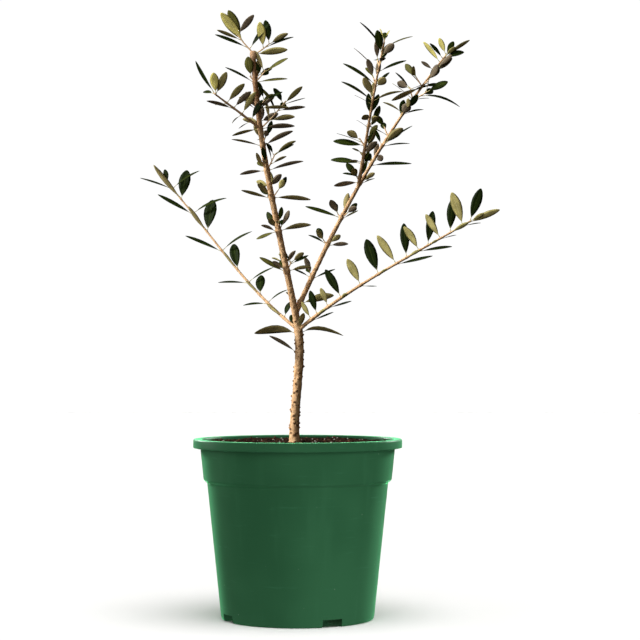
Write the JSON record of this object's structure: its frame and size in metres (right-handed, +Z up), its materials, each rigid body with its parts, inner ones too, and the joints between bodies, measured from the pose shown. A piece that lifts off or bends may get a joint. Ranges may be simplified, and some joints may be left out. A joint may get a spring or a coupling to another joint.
{
  "type": "potted olive tree",
  "caption": "Young olive tree with a bare stem, an open crown of small grey-green leaves on raised boughs, standing in a round tapered green nursery pot of soil.",
  "frame": {"origin": "centre of the flat pad under the pot's base, on the ground", "axes": "+Z up along the pot's axis; +X to the right of a viewer in front, so the long low branch reaches out to +X; the front, which the viewer faces, is -Y"},
  "size_m": [0.3946, 0.228, 0.6524],
  "materials": {
    "pot_plastic": "satin moulded polypropylene, green",
    "potting_soil": "moist dark potting compost with a few pale perlite grains",
    "bark": "smooth light brown young bark with pale lenticels and leaf scars",
    "foliage": "leathery leaves, dark green above and grey-olive beneath"
  },
  "bodies": {
    "root": {"pot": "pot_plastic", "soil": "potting_soil", "trunk": "bark", "leader": "bark", "right_bough": "bark", "inner_bough": "bark", "low_left_branch": "bark", "low_right_branch": "bark", "left_twig": "bark", "trunk_foliage_1": "foliage", "leader_foliage_1": "foliage", "leader_foliage_2": "foliage", "leader_foliage_3": "foliage", "leader_foliage_4": "foliage", "leader_foliage_5": "foliage", "right_bough_foliage_1": "foliage", "right_bough_foliage_2": "foliage", "right_bough_foliage_3": "foliage", "right_bough_foliage_4": "foliage", "right_bough_foliage_5": "foliage", "inner_bough_foliage_1": "foliage", "inner_bough_foliage_2": "foliage", "inner_bough_foliage_3": "foliage", "low_left_branch_foliage_1": "foliage", "low_left_branch_foliage_2": "foliage", "low_left_branch_foliage_3": "foliage", "low_right_branch_foliage_1": "foliage", "low_right_branch_foliage_2": "foliage", "low_right_branch_foliage_3": "foliage", "left_twig_foliage_1": "foliage"}
  },
  "joints": []
}
